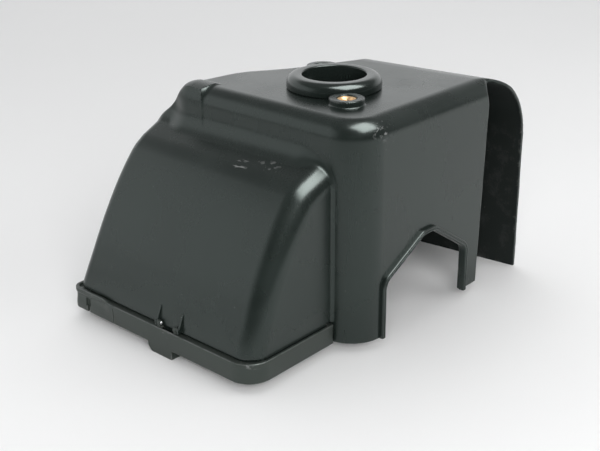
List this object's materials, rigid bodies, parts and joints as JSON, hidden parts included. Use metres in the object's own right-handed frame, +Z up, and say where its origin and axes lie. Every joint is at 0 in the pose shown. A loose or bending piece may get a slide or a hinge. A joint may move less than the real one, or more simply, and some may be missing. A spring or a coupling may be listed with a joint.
{
  "type": "air filter housing",
  "caption": "Black moulded engine hood with a sloping filter chamber on its front, a round neck on top, an arched side opening and a hinged tray that holds a pleated filter element.",
  "frame": {"origin": "middle of the bounding box, on the floor the housing stands on", "axes": "+X from the filter chamber back along the hood, +Y from the arched near wall to the far wall, +Z up along the neck"},
  "size_m": [0.1954, 0.1404, 0.1185],
  "materials": {
    "black_plastic": "satin moulded plastic with light wear",
    "grey_plastic": "plain moulded plastic",
    "rubber": "matt moulded rubber",
    "brass": "turned",
    "steel": "zinc plated",
    "filter_paper": "pleated filter paper",
    "filter_foam": "open cell foam"
  },
  "bodies": {
    "tray": {"filter_tray": "black_plastic", "tray_gasket": "rubber", "hinge_pins": "steel", "element_frame": "grey_plastic", "pleat_pack": "filter_paper", "element_seal": "rubber", "support_screen": "steel", "precleaner_foam": "filter_foam", "latch_pin": "steel", "latch_spring": "steel"},
    "housing": {"housing_shell": "black_plastic", "neck_collar": "black_plastic", "threaded_inserts": "brass", "outlet_gasket": "rubber", "outlet_adapter": "grey_plastic", "outlet_screws": "steel", "outlet_boot": "rubber", "boot_clamps": "steel", "clamp_screws": "steel"},
    "latch": {"latch_lever": "grey_plastic"}
  },
  "joints": [
    {"name": "housing_tilt", "type": "hinge", "parent": "tray", "child": "housing", "pos_m": [-0.09608, -0.00085, 0.0165], "axis": [0, -1, 0], "range_deg": [0, 48]},
    {"name": "latch_release", "type": "hinge", "parent": "tray", "child": "latch", "pos_m": [-0.03752, 0.00465, 0.0101], "axis": [0, 1, 0], "range_deg": [0, 18], "stiffness_Nm_per_rad": 0.05, "springref_deg": -11.46, "deforming": ["latch_spring"]}
  ]
}
